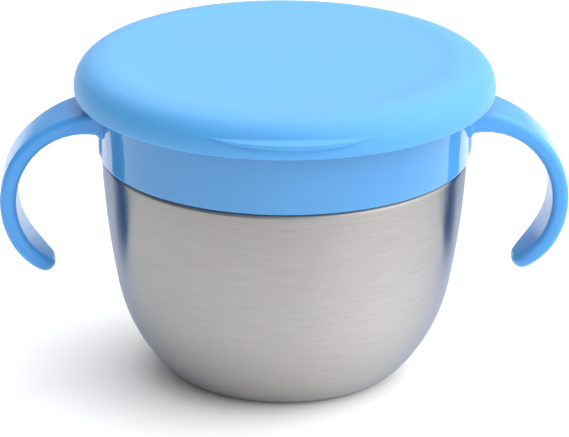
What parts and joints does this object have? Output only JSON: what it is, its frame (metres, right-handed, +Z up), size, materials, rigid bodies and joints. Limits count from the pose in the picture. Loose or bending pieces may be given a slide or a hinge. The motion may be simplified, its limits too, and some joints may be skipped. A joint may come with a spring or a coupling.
{
  "type": "toddler snack container",
  "caption": "Round brushed steel snack bowl with a twist-on collar, open side handles, soft push-through flaps and a lift-off lid.",
  "frame": {"origin": "centre of the bowl's flat underside", "axes": "+Z up out of the bowl's mouth, X along the two handles, the lid's finger tab towards -Y"},
  "size_m": [0.1538, 0.1148, 0.0889],
  "materials": {
    "steel": "brushed stainless steel, fine lines round the bowl",
    "collar_plastic": "glossy moulded polypropylene",
    "lid_soft": "matte soft-touch moulding",
    "flap_soft": "matte soft elastomer",
    "seal": "matte silicone"
  },
  "bodies": {
    "bowl": {"steel_bowl": "steel"},
    "gasket": {"gasket": "seal"},
    "collar": {"collar": "collar_plastic", "flap_ring": "flap_soft"},
    "flap_1": {"flap_1": "flap_soft"},
    "flap_2": {"flap_2": "flap_soft"},
    "flap_3": {"flap_3": "flap_soft"},
    "flap_4": {"flap_4": "flap_soft"},
    "flap_5": {"flap_5": "flap_soft"},
    "flap_6": {"flap_6": "flap_soft"},
    "lid": {"lid": "lid_soft"}
  },
  "joints": [
    {"name": "collar_rise", "type": "slide", "parent": "bowl", "child": "gasket", "axis": [0, 0, 1], "range_m": [0, 0.009]},
    {"name": "collar_twist", "type": "hinge", "parent": "gasket", "child": "collar", "pos_m": [0, 0, 0.0618], "axis": [0, 0, 1], "range_deg": [0, 270]},
    {"name": "lid_lift", "type": "slide", "parent": "collar", "child": "lid", "axis": [0, 0, 1], "range_m": [0, 0.04]},
    {"name": "flap_1_bend", "type": "hinge", "parent": "collar", "child": "flap_1", "pos_m": [0.02607, 0.01505, 0.0819], "axis": [0.5, -0.866, 0], "range_deg": [-4, 75], "stiffness_Nm_per_rad": 0.01},
    {"name": "flap_2_bend", "type": "hinge", "parent": "collar", "child": "flap_2", "pos_m": [0, 0.03011, 0.0819], "axis": [1, 0, 0], "range_deg": [-4, 75], "stiffness_Nm_per_rad": 0.01},
    {"name": "flap_3_bend", "type": "hinge", "parent": "collar", "child": "flap_3", "pos_m": [-0.02607, 0.01505, 0.0819], "axis": [0.5, 0.866, 0], "range_deg": [-4, 75], "stiffness_Nm_per_rad": 0.01},
    {"name": "flap_4_bend", "type": "hinge", "parent": "collar", "child": "flap_4", "pos_m": [-0.02607, -0.01505, 0.0819], "axis": [-0.5, 0.866, 0], "range_deg": [-4, 75], "stiffness_Nm_per_rad": 0.01},
    {"name": "flap_5_bend", "type": "hinge", "parent": "collar", "child": "flap_5", "pos_m": [0, -0.03011, 0.0819], "axis": [-1, 0, 0], "range_deg": [-4, 75], "stiffness_Nm_per_rad": 0.01},
    {"name": "flap_6_bend", "type": "hinge", "parent": "collar", "child": "flap_6", "pos_m": [0.02607, -0.01505, 0.0819], "axis": [-0.5, -0.866, 0], "range_deg": [-4, 75], "stiffness_Nm_per_rad": 0.01}
  ],
  "couplings": [
    {"joint": "collar_rise", "follows": "collar_twist", "m_per_rad": 0.0019099}
  ]
}
